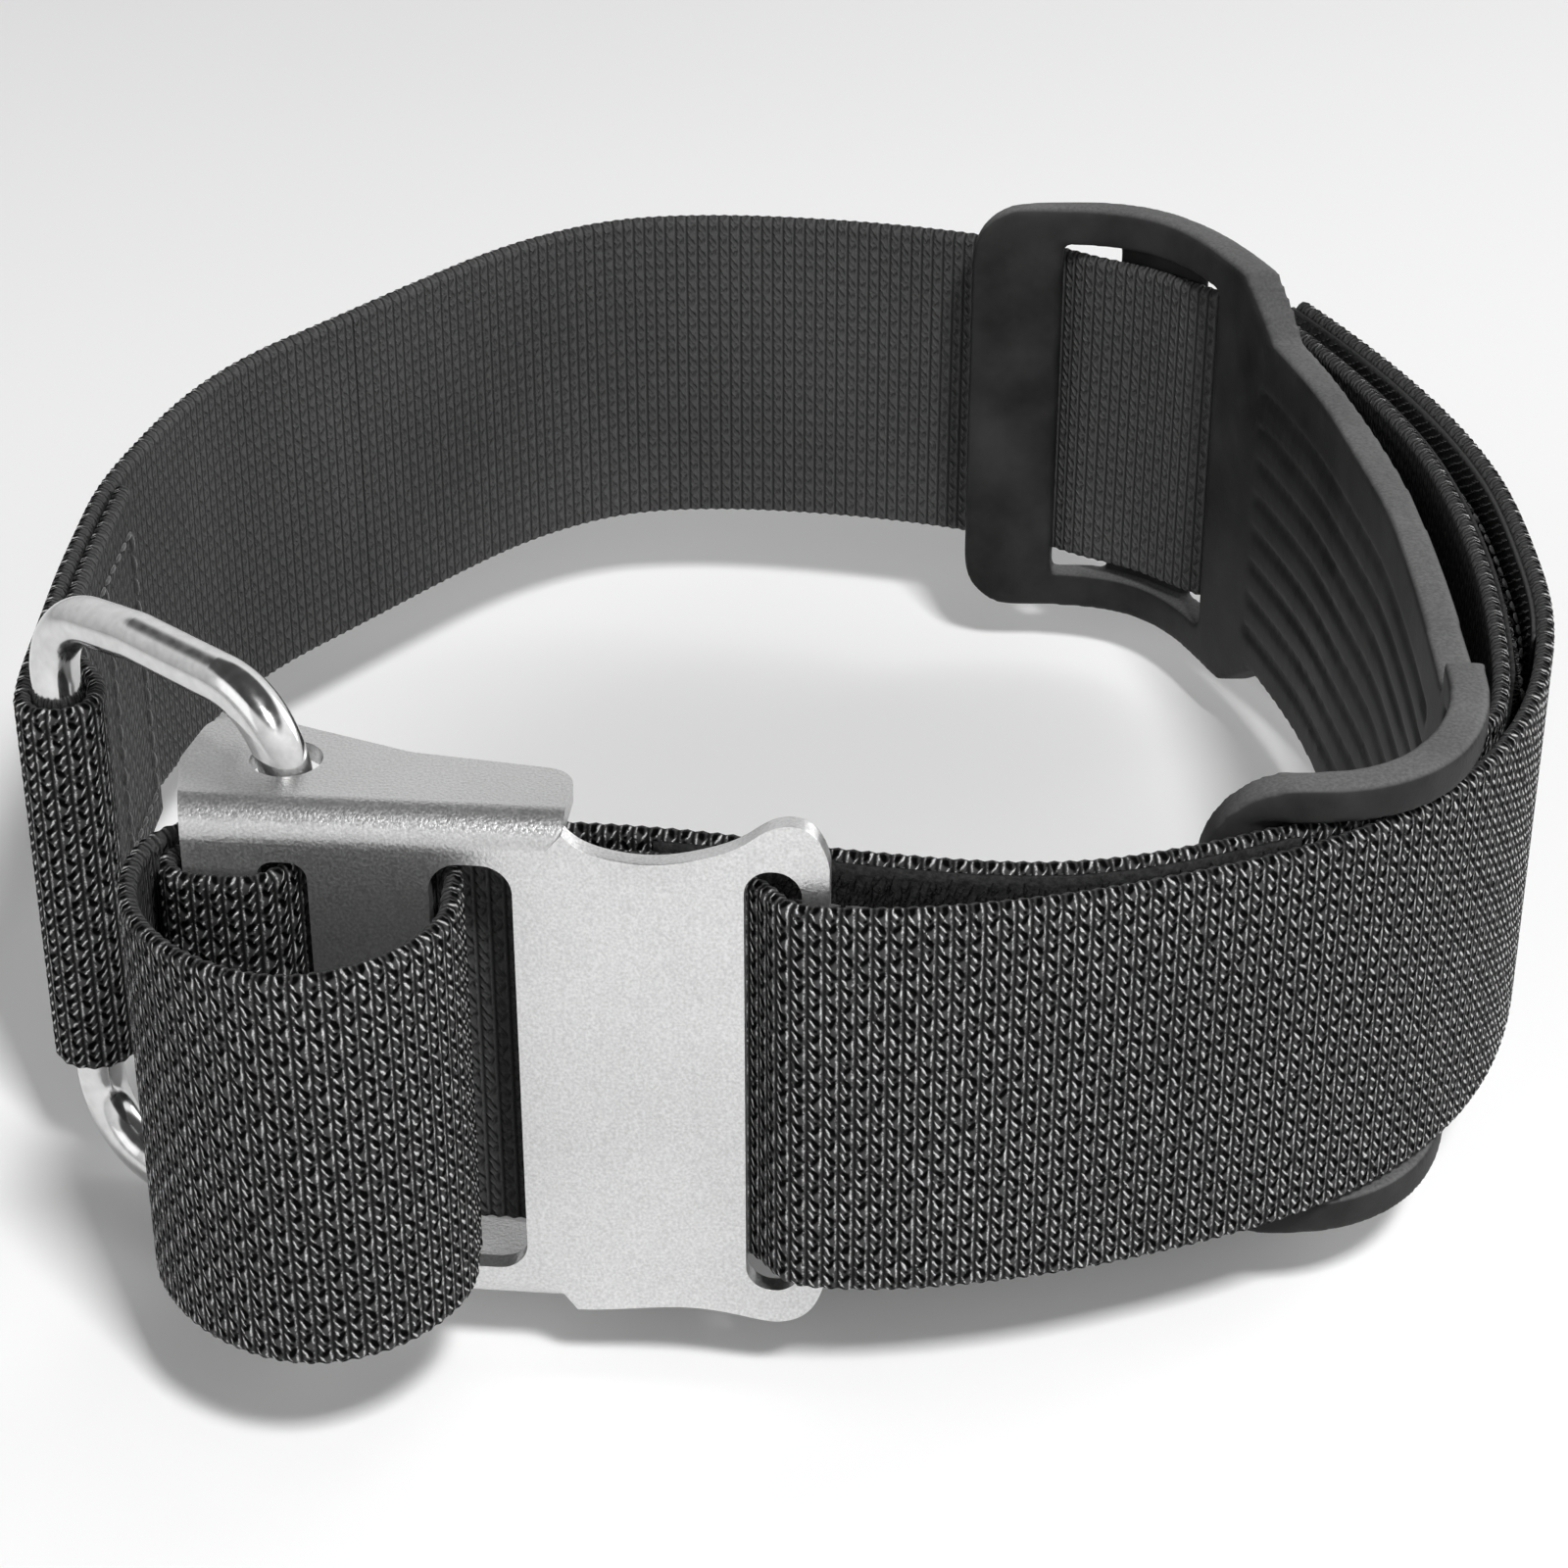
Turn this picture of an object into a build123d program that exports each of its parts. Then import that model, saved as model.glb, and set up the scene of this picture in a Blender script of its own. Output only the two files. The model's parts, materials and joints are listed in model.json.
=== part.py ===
from build123d import *
from math import cos, radians, sin
import os

# Cylinder cam band: 50 mm webbing threaded through a stamped over-centre lever and closed by a wire
# bail, with a rubber pad that grips the cylinder. Millimetres, +Z up. The origin is the middle of the
# outline, level with the lowest point. Plan coordinates are laid out from the middle of the band's
# front and heights from the webbing's lower edge; level() places both.

os.makedirs("parts", exist_ok=True)

# Webbing
WEB_WIDTH = 50.0
WEB_THICK = 2.2
GAP = 0.2                 # play round the bail's leg
SEAM = 0.03               # play between a tape and the webbing it is sewn to
JOINT_GAP = 1.3           # half the break in the webbing at a pivot

# Spacing of the points that a layer's outline is drawn through
STEP_CROSS = 0.4
STEP_FOLD = 1.0
STEP_BEND = 1.5
STEP_TAIL = 2.0
STEP_RUN = 3.0
STEP_BACK = 4.0

# Hook and loop tapes
TAPE_MARGIN = 1.0
LOOP_THICK = 1.6
HOOK_THICK = 1.1
HOOK_LEAD = 8.0           # hook tape before the point where it meets the loop tape

# Thread
THREAD_WIDE = 0.8
THREAD_PROUD = 0.3
THREAD_INSET = 5.0
THREAD_SPACE = 0.3        # between a row and a row that crosses it
ROW_INSET = 2.0           # from a tape's end to its first stitch
SEWN_INSET = 3.0          # from the webbing's sewn end to its first stitch

# Wire bail
WIRE_R = 2.9
BAIL_BEND_R = 10.0
BAIL_ARM_RISE = 13.1      # from the webbing's edge to the centre of an arm, at its crown
BAIL_CROWN = 2.0          # how far an arm's crown stands above its leg end
BAIL_CROWN_AT = 0.4       # the crown's share of the way along the arm
BAIL_TIP_RISE = 1.3       # from the webbing's edge to the wire's end
BAIL_TIP_CHAMFER = 0.8
LEG_CENTRE = (-84.5, -22.0)
PIVOT_CENTRE = (-54.0, -50.0)

# Cam lever: u runs along its face from the rounded end, d back from the face
SHEET = 2.2
LEVER_CORNER = (-64.0, -60.6)
LEVER_TURN = -5.4
FLANGE_RISE = 7.0
FLANGE_BEND_R = 4.0
FLANGE_LENGTH = 40.7
FLANGE_CORNER_R = 3.5
END_SPARE = 5.0           # sheet beyond the rounded end, trimmed off with the flanges' outline
FACE_LAP = 5.0            # how far the face plate runs into the channel
PIVOT_HOLE_R = 4.0
LEVER_SLOTS = (           # start, end, rise beyond the webbing, corner radius
    (7.6, 13.1, 0.8, 2.0),
    (26.2, 35.2, 1.6, 3.4),
    (60.0, 66.2, 2.6, 3.0),
)

# Anti-slip pad
PAD_RISE_BACK = 8.0
PAD_RISE_FRONT = 5.0
PAD_RISE_WAIST = 1.0
PAD_CORNER_R_BACK = 8.0
PAD_CORNER_R_FRONT = 11.0
PAD_TRIM = 1.0            # how far the trimming cuts reach beyond the pad
WINDOW_RISE_BACK = 2.2
WINDOW_RISE_FRONT = 0.6
WEB_NEST = 1.3            # room for the webbing each side of its centreline, where it meets the pad
TAIL_NEST = 1.5           # room for the tail, where it passes over the pad's front end
BACK_BAR_CUT = 7.0        # depth cleared on the webbing's side of a tab's bar
FRONT_BAR_CUT = 5.0
FRONT_END_CUT = 6.0
FRONT_TAB_TOP_Y = -23.4
BACK_TAB_FOOT_Y = 79.0
BACK_TAB_TOP_Y = 89.0
GROOVE_COUNT = 8
GROOVE_WIDE = 2.2
GROOVE_PITCH = 5.4
GROOVE_DEEP = 0.7

# Where the origin lies in the plan layout, and how far it is below the webbing's lower edge
ORIGIN_X = 2.08
ORIGIN_Y = 24.76
LIFT = BAIL_ARM_RISE + WIRE_R

TOP = WEB_WIDTH           # heights of the webbing's upper edge and middle
MID = WEB_WIDTH / 2


def level(height=0.0):
    """Horizontal plane in layout coordinates, at a height above the webbing's lower edge."""
    return Plane((-ORIGIN_X, -ORIGIN_Y, LIFT + height))


def around(centre, radius, start, end, step):
    """Points on an arc round a centre, angles in degrees."""
    count = round(abs(end - start) / step)
    angles = [radians(start + (end - start) * i / count) for i in range(count + 1)]
    return [(centre[0] + radius * cos(a), centre[1] + radius * sin(a)) for a in angles]


# The strap is one length of webbing. Its centreline in plan, from the sewn end to the free end:
FOLD_BACK = [(-86.1, 35), (-86.8, 22), (-87.15, 10), (-87, 0), (-86, -7.5), (-83.2, -13.5), (-80.7, -18.4)]
LEG_LOOP = around(LEG_CENTRE, WIRE_R + GAP + WEB_THICK / 2, 0, -180, 30)
BACK = [
    (-89.3, -12), (-89.4, 0), (-89.5, 10), (-89.2, 22), (-88.6, 34), (-86, 48), (-80.3, 67), (-73.2, 80),
    (-66, 89.3), (-58.5, 99), (-51, 108.5), (-42.5, 118.2), (-34, 125.3), (-25, 130), (-15, 131.8),
    (-5, 131.7), (4, 130.6), (13, 128.9), (21, 126.8), (29, 124.1), (36.5, 121), (42, 118.3),
]
BACK_WEAVE = [(46.2, 115.2), (50.5, 112.6), (55, 109.6), (59.5, 105.3), (64, 101.2), (68.3, 97.9)]
SIDE = [
    (70.7, 94.1), (73, 88.4), (75.7, 81.1), (78.8, 72.2), (82.3, 60), (84.9, 48), (86.5, 34), (87.1, 20),
    (86.8, 5), (85.8, -7), (84.7, -15.5), (83.4, -22),
]
FRONT_WEAVE = [(81.6, -27), (78.2, -31), (75.1, -34.5), (72.9, -38.3), (70, -42.6), (67, -46), (64.3, -48.8)]
FRONT = [
    (61, -50.7), (56, -52), (50, -54.4), (44, -56.8), (37, -59), (30, -60.1), (21, -59.9), (12, -58.6),
    (4, -57), (-5, -54.7), (-14, -52.9), (-24, -51.7), (-36, -50.8), (-46, -50.3), PIVOT_CENTRE,
]
SLACK_LOOP = [
    (-60, -50.3), (-65.5, -51.6), (-68.9, -55.2), (-70, -60.5), (-69.4, -66.5), (-66.4, -73), (-60.5, -79),
    (-51.5, -82.4), (-42.5, -79.6), (-37, -73.6), (-35.2, -68),
]
BUCKLE_WEAVE = [
    (-35.3, -64.8), (-35.2, -62), (-36.3, -59.7), (-38.8, -58.4), (-42.5, -58), (-46.2, -57.7),
    (-49.8, -57.6), (-52.2, -58.9), (-53.7, -60.5), (-55.2, -62.2), (-57.6, -63.1), (-60.5, -62.9),
    (-63.4, -62.4), (-65.7, -60.8), (-66.3, -58.4), (-65, -56.1), (-61.5, -54.9), (-54, -54.5),
    (-44, -54.8), (-34, -55.8), (-24, -57), (-15, -58), (-9.5, -59.2), (-5.7, -61.1), (-3.2, -63.3),
    (-1.3, -65.4),
]
TAIL = [
    (-0.4, -67.1), (1.1, -68.5), (3.9, -69.2), (10.5, -69.5), (21, -68.4), (32, -66), (43, -62.4),
    (54, -57.9), (63, -52.9), (69.5, -48.1), (75, -42.7), (80.6, -35.4), (86.4, -24.2), (90.8, -10),
    (92.9, 2), (93.6, 16), (93.2, 36), (90.8, 52), (86, 70), (80.2, 86), (74.8, 98.6),
]
STRAP = Spline(
    *FOLD_BACK, *LEG_LOOP, *BACK, *BACK_WEAVE, *SIDE, *FRONT_WEAVE, *FRONT, *SLACK_LOOP, *BUCKLE_WEAVE, *TAIL
)

# Outline of the pad in plan, along its inner face and back along its outer face
PAD_INNER = [
    (28.3, 113.6), (36, 113.4), (45, 112.8), (54, 109.3), (60, 101.7), (64.3, 91), (67.8, 81.5),
    (70.3, 72), (72.9, 59.5), (75.2, 41), (76.7, 27), (77.1, 12), (76.9, -4), (76.5, -14), (76.1, -23.4),
    (75.5, -31), (73.5, -37.4), (70.3, -42.6), (66.9, -46), (62.3, -48.2), (56.4, -48.8), (45.5, -48.4),
]
PAD_OUTER = [
    (45.5, -52.8), (56.4, -53.4), (63.4, -52.8), (69.6, -50), (74.3, -45.6), (78, -39.1), (80.1, -31.6),
    (80.8, -23.4), (81.2, -10), (81.5, 4), (81.4, 16), (80.9, 30), (79.4, 45), (77, 61.5), (74.4, 75),
    (71.9, 84.5), (68.9, 93.5), (65.5, 101.5), (61, 108.7), (54.8, 114.4), (45, 117), (36, 116.5),
    (28.3, 116),
]
PAD_BACK_SLOTS = (((46.2, 115), 8.6, -12), ((63.6, 101), 9.2, -62))     # centre, width, direction
PAD_FRONT_SLOTS = (((78, -31), 8.4, -96), ((64.9, -49.8), 8.6, 18))
SLOT_REACH = 14.0


def station(point, curve=STRAP):
    """Distance along a curve to a point on it."""
    return curve.param_at_point(Vector(*point)) * curve.length


def beside(curve, start, end, shift, step):
    """Points along a curve between two stations, moved sideways; positive is left of the run."""
    count = max(2, round((end - start) / step))
    points = []
    for i in range(count + 1):
        at = (start + (end - start) * i / count) / curve.length
        along = curve % at
        points.append(curve @ at + Vector(-along.Y, along.X) * shift)
    return points


def layer(start, end, right, left, step, curve=STRAP):
    """Plan outline of a layer along a curve, between two sideways distances from it."""
    with BuildSketch() as outline:
        with BuildLine():
            far = Spline(*beside(curve, start, end, left, step))
            near = Spline(*beside(curve, start, end, right, step))
            Line(far @ 0, near @ 0)
            Line(far @ 1, near @ 1)
        make_face()
    return outline.sketch


def webbing(start, end, step):
    """Plan outline of the webbing between two stations."""
    return layer(start, end, -WEB_THICK / 2, WEB_THICK / 2, step)


LEG_STATION = station(LEG_LOOP[-1])
BACK_SLOT_STATION = station(BACK[-1])
SIDE_STATION = station(SIDE[0])
FRONT_SLOT_STATION = station(SIDE[-1])
FRONT_STATION = station(FRONT[0])
PIVOT_STATION = station(PIVOT_CENTRE)
LEVER_SLOT_STATION = station(SLACK_LOOP[-1])
TAIL_STATION = station(BUCKLE_WEAVE[-1])

# ---- Webbing, one node for each stretch ----

with BuildPart() as webbing_sewn_end:
    with BuildSketch(level()):
        add(webbing(0, LEG_STATION, STEP_FOLD))
    extrude(amount=WEB_WIDTH)

with BuildPart() as webbing_back:
    with BuildSketch(level()):
        add(webbing(LEG_STATION, BACK_SLOT_STATION, STEP_BACK))
    extrude(amount=WEB_WIDTH)

with BuildPart() as webbing_back_weave:
    with BuildSketch(level()):
        add(webbing(BACK_SLOT_STATION, SIDE_STATION, STEP_BEND))
    extrude(amount=WEB_WIDTH)

with BuildPart() as webbing_side:
    with BuildSketch(level()):
        add(webbing(SIDE_STATION, FRONT_SLOT_STATION, STEP_RUN))
    extrude(amount=WEB_WIDTH)

with BuildPart() as webbing_front_weave:
    with BuildSketch(level()):
        add(webbing(FRONT_SLOT_STATION, FRONT_STATION, STEP_BEND))
    extrude(amount=WEB_WIDTH)

with BuildPart() as webbing_front:
    with BuildSketch(level()):
        add(webbing(FRONT_STATION, PIVOT_STATION - JOINT_GAP, STEP_RUN))
    extrude(amount=WEB_WIDTH)

with BuildPart() as webbing_slack_loop:
    with BuildSketch(level()):
        add(webbing(PIVOT_STATION + JOINT_GAP, LEVER_SLOT_STATION, STEP_BEND))
    extrude(amount=WEB_WIDTH)

with BuildPart() as webbing_buckle_weave:
    with BuildSketch(level()):
        add(webbing(LEVER_SLOT_STATION, TAIL_STATION - JOINT_GAP, STEP_FOLD))
    extrude(amount=WEB_WIDTH)

with BuildPart() as webbing_tail:
    with BuildSketch(level()):
        add(webbing(TAIL_STATION + JOINT_GAP, STRAP.length, STEP_TAIL))
    extrude(amount=WEB_WIDTH)

# ---- Hook and loop tapes ----

WEB_FACE = WEB_THICK / 2
LOOP_FACE = WEB_FACE + LOOP_THICK
HOOK_FACE = WEB_FACE + HOOK_THICK
SIDE_TAPE = (station(SIDE[1]), station(SIDE[-2]))
FRONT_TAPE = (station(FRONT[1]), station(FRONT[10]))
HOOK_TAPE = (station(TAIL[14]) - HOOK_LEAD, STRAP.length - TAPE_MARGIN)
TAPE_WIDTH = WEB_WIDTH - 2 * TAPE_MARGIN

with BuildPart() as loop_tape_side:
    with BuildSketch(level(TAPE_MARGIN)):
        add(layer(*SIDE_TAPE, WEB_FACE + SEAM, LOOP_FACE, STEP_RUN))
    extrude(amount=TAPE_WIDTH)

with BuildPart() as loop_tape_front:
    with BuildSketch(level(TAPE_MARGIN)):
        add(layer(*FRONT_TAPE, WEB_FACE + SEAM, LOOP_FACE, STEP_RUN))
    extrude(amount=TAPE_WIDTH)

with BuildPart() as hook_tape:
    with BuildSketch(level(TAPE_MARGIN)):
        add(layer(*HOOK_TAPE, WEB_FACE + SEAM, HOOK_FACE, STEP_RUN))
    extrude(amount=TAPE_WIDTH)

# ---- Thread, one solid for each row of stitches ----

ROW_HEIGHTS = (THREAD_INSET, TOP - THREAD_INSET - THREAD_WIDE)

with BuildPart() as loop_tape_stitching:
    for height in ROW_HEIGHTS:
        with BuildSketch(level(height)):
            for start, end in (SIDE_TAPE, FRONT_TAPE):
                start, end = start + ROW_INSET, end - ROW_INSET
                add(layer(start, end, LOOP_FACE + SEAM, LOOP_FACE + THREAD_PROUD, STEP_RUN))
        extrude(amount=THREAD_WIDE)

with BuildPart() as hook_tape_stitching:
    for height in ROW_HEIGHTS:
        with BuildSketch(level(height)):
            start, end = HOOK_TAPE[0] + ROW_INSET, HOOK_TAPE[1] - ROW_INSET
            add(layer(start, end, HOOK_FACE + SEAM, HOOK_FACE + THREAD_PROUD, STEP_RUN))
        extrude(amount=THREAD_WIDE)

SEWN_START = station(FOLD_BACK[0]) + SEWN_INSET
SEWN_END = station(FOLD_BACK[3])
with BuildPart() as sewn_end_stitching:
    for height in ROW_HEIGHTS:
        with BuildSketch(level(height)):
            add(layer(SEWN_START, SEWN_END, WEB_FACE + SEAM, WEB_FACE + THREAD_PROUD, STEP_TAIL))
        extrude(amount=THREAD_WIDE)
    cross_start = THREAD_INSET + THREAD_WIDE + THREAD_SPACE
    with BuildSketch(level(cross_start)):
        for start in (SEWN_START, (SEWN_START + SEWN_END) / 2, SEWN_END - THREAD_WIDE):
            add(layer(start, start + THREAD_WIDE, WEB_FACE + SEAM, WEB_FACE + THREAD_PROUD, STEP_CROSS))
    extrude(amount=TOP - 2 * cross_start)

# ---- Anti-slip pad ----


def pad_slots(places):
    """Slots through a tab, in plan."""
    with BuildSketch() as slots:
        for centre, width, direction in places:
            with Locations(Location((*centre, 0), direction)):
                Rectangle(width, SLOT_REACH)
    return slots.sketch


grip_face = Spline(*PAD_INNER)
groove_start, groove_end = station(PAD_INNER[6], grip_face), station(PAD_INNER[13], grip_face)
groove = layer(groove_start, groove_end, -PAD_TRIM, GROOVE_DEEP, STEP_BACK, grip_face)

with BuildPart() as anti_slip_pad:
    with BuildSketch(level(-PAD_RISE_BACK)):
        with BuildLine():
            pad_inner = Spline(*PAD_INNER)
            pad_outer = Spline(*PAD_OUTER)
            Line(pad_inner @ 1, pad_outer @ 0)
            Line(pad_outer @ 1, pad_inner @ 0)
        make_face()
    extrude(amount=WEB_WIDTH + 2 * PAD_RISE_BACK)
    # The waist and the lower front tab are trimmed to height along both edges
    trim_x = max(x for x, y in PAD_OUTER) + PAD_TRIM
    trim_y = min(y for x, y in PAD_OUTER) - PAD_TRIM
    for edge, way in ((TOP, 1), (0.0, -1)):
        side_view = Plane((0, -ORIGIN_Y, LIFT + edge), x_dir=(0, 1, 0), z_dir=(1, 0, 0))
        with BuildSketch(side_view):
            with BuildLine():
                Polyline(
                    (FRONT_TAB_TOP_Y, way * PAD_RISE_WAIST), (BACK_TAB_FOOT_Y, way * PAD_RISE_WAIST),
                    (BACK_TAB_TOP_Y, way * PAD_RISE_BACK), (BACK_TAB_TOP_Y, way * (PAD_RISE_BACK + PAD_TRIM)),
                    (trim_y, way * (PAD_RISE_BACK + PAD_TRIM)), (trim_y, way * PAD_RISE_FRONT),
                    (FRONT_TAB_TOP_Y, way * PAD_RISE_FRONT), close=True,
                )
            make_face()
        extrude(amount=trim_x, mode=Mode.SUBTRACT)
    # Rounded tab ends
    for (x, y), radius in ((PAD_OUTER[-1], PAD_CORNER_R_BACK), (PAD_OUTER[0], PAD_CORNER_R_FRONT)):
        end_face = anti_slip_pad.faces().sort_by_distance((x - ORIGIN_X, y - ORIGIN_Y, LIFT + MID))[0]
        end_edges = end_face.edges().sort_by(Axis.Z)
        fillet((end_edges[0], end_edges[-1]), radius)
    # Back tab: two slots, and a bar between them that is thinned on the inside
    with BuildSketch(level(-WINDOW_RISE_BACK)):
        add(pad_slots(PAD_BACK_SLOTS))
        add(layer(station(BACK_WEAVE[0]), station(BACK_WEAVE[4]), -BACK_BAR_CUT, WEB_NEST, STEP_BEND))
        add(layer(station(BACK[-2]), station(SIDE[1]), -WEB_NEST, WEB_NEST, STEP_BEND))
    extrude(amount=WEB_WIDTH + 2 * WINDOW_RISE_BACK, mode=Mode.SUBTRACT)
    # Front tab: as the back tab, with the end bar thinned on the outside, and room for the tail
    with BuildSketch(level(-WINDOW_RISE_FRONT)):
        add(pad_slots(PAD_FRONT_SLOTS))
        add(layer(station(FRONT_WEAVE[1]), station(FRONT_WEAVE[5]), -FRONT_BAR_CUT, WEB_NEST, STEP_BEND))
        add(layer(station(SIDE[-2]), station(FRONT[0]), -WEB_NEST, WEB_NEST, STEP_BEND))
        add(layer(station(FRONT[0]), station(FRONT[4]), -WEB_NEST, FRONT_END_CUT, STEP_BEND))
        add(layer(station(TAIL[6]), station(TAIL[12]), -FRONT_BAR_CUT, TAIL_NEST, STEP_RUN))
    extrude(amount=WEB_WIDTH + 2 * WINDOW_RISE_FRONT, mode=Mode.SUBTRACT)
    # Ribbed gripping face
    for i in range(GROOVE_COUNT):
        with BuildSketch(level(MID + (i - GROOVE_COUNT / 2) * GROOVE_PITCH)):
            add(groove)
        extrude(amount=GROOVE_WIDE, mode=Mode.SUBTRACT)

# ---- Cam lever ----

corner = (LEVER_CORNER[0] - ORIGIN_X, LEVER_CORNER[1] - ORIGIN_Y)
along = (cos(radians(LEVER_TURN)), sin(radians(LEVER_TURN)), 0)
inward = (-along[1], along[0], 0)
outward = (along[1], -along[0], 0)
LEVER_END = Plane((*corner, LIFT), x_dir=inward, z_dir=along)          # (d, height)
LEVER_FACE = Plane((*corner, LIFT), x_dir=along, z_dir=outward)        # (u, height)
LEVER_BASE = Plane((*corner, LIFT - FLANGE_RISE), x_dir=along, z_dir=(0, 0, 1))    # (u, d)

LEVER_TOP = [
    (FLANGE_LENGTH, 55.8), (42.7, 54.1), (45.6, 53.1), (50.1, 52.7), (56, 53.9), (59.8, 55.6),
    (63.5, 58), (66.3, 58), (68.3, 55.9), (69.1, 52.5),
]
LEVER_BOTTOM = [
    (69.1, 0), (68.4, -2.8), (66.6, -5.8), (64, -7), (60, -6.6), (54, -5.8), (47, -6.4), (FLANGE_LENGTH, -7),
]
FLANGE_DEEP = 24.0

with BuildPart() as cam_lever:
    # Channel: the face with both flanges, then cut to the flanges' outline
    with BuildSketch(LEVER_END):
        low, high = -FLANGE_RISE, TOP + FLANGE_RISE
        with BuildLine():
            outer = FilletPolyline(
                (FLANGE_DEEP, high), (0, high), (0, low), (FLANGE_DEEP, low), radius=FLANGE_BEND_R
            )
            inner = FilletPolyline(
                (FLANGE_DEEP, high - SHEET), (SHEET, high - SHEET), (SHEET, low + SHEET),
                (FLANGE_DEEP, low + SHEET), radius=FLANGE_BEND_R - SHEET,
            )
            Line(outer @ 0, inner @ 0)
            Line(outer @ 1, inner @ 1)
        make_face()
    extrude(amount=FLANGE_LENGTH)
    extrude(cam_lever.faces().sort_by(Axis(corner + (0,), along))[0], amount=END_SPARE)
    with BuildSketch(LEVER_BASE):
        with BuildLine():
            FilletPolyline(
                (-0.4, 0), (-2.6, 10.5), (-1.2, 20.4), (5.5, 20.2), (22.2, 14.2), (36, 12.4),
                (FLANGE_LENGTH, 11.8), (FLANGE_LENGTH, 0), radius=FLANGE_CORNER_R, close=False,
            )
            Line((FLANGE_LENGTH, 0), (-0.4, 0))
        make_face()
    extrude(amount=WEB_WIDTH + 2 * FLANGE_RISE, mode=Mode.INTERSECT)
    # Face plate beyond the flanges
    with BuildSketch(LEVER_FACE):
        with BuildLine():
            upper = Spline(*LEVER_TOP)
            lower = Spline(*LEVER_BOTTOM)
            Line(upper @ 1, lower @ 0)
            Polyline(lower @ 1, (FLANGE_LENGTH - FACE_LAP, 0), (FLANGE_LENGTH - FACE_LAP, TOP), upper @ 0)
        make_face()
    extrude(amount=-SHEET)
    with BuildSketch(LEVER_FACE):
        for start, end, rise, radius in LEVER_SLOTS:
            with Locations(((start + end) / 2, MID)):
                RectangleRounded(end - start, WEB_WIDTH + 2 * rise, radius)
    extrude(amount=-SHEET, mode=Mode.SUBTRACT)
    with BuildSketch(level(-FLANGE_RISE)):
        with Locations(PIVOT_CENTRE):
            Circle(PIVOT_HOLE_R)
    extrude(amount=WEB_WIDTH + 2 * FLANGE_RISE, mode=Mode.SUBTRACT)

# ---- Wire bail ----

leg_x, leg_y = LEG_CENTRE[0] - ORIGIN_X, LEG_CENTRE[1] - ORIGIN_Y
tip_x, tip_y = PIVOT_CENTRE[0] - ORIGIN_X, PIVOT_CENTRE[1] - ORIGIN_Y
arm_low, arm_high = LIFT - BAIL_ARM_RISE, LIFT + TOP + BAIL_ARM_RISE
tip_low, tip_high = LIFT - BAIL_TIP_RISE, LIFT + TOP + BAIL_TIP_RISE
leg_low, leg_high = arm_low + BAIL_CROWN, arm_high - BAIL_CROWN
crown_x = leg_x + (tip_x - leg_x) * BAIL_CROWN_AT
crown_y = leg_y + (tip_y - leg_y) * BAIL_CROWN_AT

with BuildPart() as wire_bail:
    with BuildLine():
        FilletPolyline(
            (tip_x, tip_y, tip_high), (tip_x, tip_y, arm_high), (crown_x, crown_y, arm_high),
            (leg_x, leg_y, leg_high), (leg_x, leg_y, leg_low), (crown_x, crown_y, arm_low),
            (tip_x, tip_y, arm_low), (tip_x, tip_y, tip_low), radius=BAIL_BEND_R,
        )
    with BuildSketch(Plane((tip_x, tip_y, tip_high))):
        Circle(WIRE_R)
    sweep()
    tips = wire_bail.faces().filter_by(GeomType.PLANE)
    chamfer(tips.edges(), BAIL_TIP_CHAMFER)

# ---- Nodes ----

NODES = {
    "webbing_sewn_end": webbing_sewn_end,
    "webbing_back": webbing_back,
    "webbing_back_weave": webbing_back_weave,
    "webbing_side": webbing_side,
    "webbing_front_weave": webbing_front_weave,
    "webbing_front": webbing_front,
    "webbing_slack_loop": webbing_slack_loop,
    "webbing_buckle_weave": webbing_buckle_weave,
    "webbing_tail": webbing_tail,
    "loop_tape_side": loop_tape_side,
    "loop_tape_front": loop_tape_front,
    "hook_tape": hook_tape,
    "loop_tape_stitching": loop_tape_stitching,
    "hook_tape_stitching": hook_tape_stitching,
    "sewn_end_stitching": sewn_end_stitching,
    "anti_slip_pad": anti_slip_pad,
    "cam_lever": cam_lever,
    "wire_bail": wire_bail,
}
for name, piece in NODES.items():
    piece.part.label = name
    export_step(piece.part, f"parts/{name}.step")
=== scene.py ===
import json
import math

import bpy
import numpy as np
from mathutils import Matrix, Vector


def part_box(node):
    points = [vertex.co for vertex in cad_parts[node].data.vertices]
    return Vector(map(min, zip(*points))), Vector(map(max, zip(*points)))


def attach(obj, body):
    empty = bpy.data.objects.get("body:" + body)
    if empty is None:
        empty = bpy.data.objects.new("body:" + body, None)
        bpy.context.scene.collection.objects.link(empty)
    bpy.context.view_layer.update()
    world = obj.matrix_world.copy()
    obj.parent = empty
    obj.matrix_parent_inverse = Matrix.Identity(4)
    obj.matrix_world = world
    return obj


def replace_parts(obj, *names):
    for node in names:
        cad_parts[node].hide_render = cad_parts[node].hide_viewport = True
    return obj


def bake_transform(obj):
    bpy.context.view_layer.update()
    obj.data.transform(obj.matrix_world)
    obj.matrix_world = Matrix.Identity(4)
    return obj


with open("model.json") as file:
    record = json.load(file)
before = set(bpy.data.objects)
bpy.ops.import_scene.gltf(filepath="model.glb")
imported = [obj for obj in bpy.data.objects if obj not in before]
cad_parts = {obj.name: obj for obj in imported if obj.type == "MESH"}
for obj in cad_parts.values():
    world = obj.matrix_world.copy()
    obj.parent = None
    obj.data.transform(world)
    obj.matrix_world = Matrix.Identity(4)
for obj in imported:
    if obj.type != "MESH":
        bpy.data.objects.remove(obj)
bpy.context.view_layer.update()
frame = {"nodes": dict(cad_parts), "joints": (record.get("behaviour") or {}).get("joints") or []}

MM = 0.001
JOINTS = {j["name"]: np.array(j["pos_m"]) / MM for j in frame["joints"]}

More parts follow.
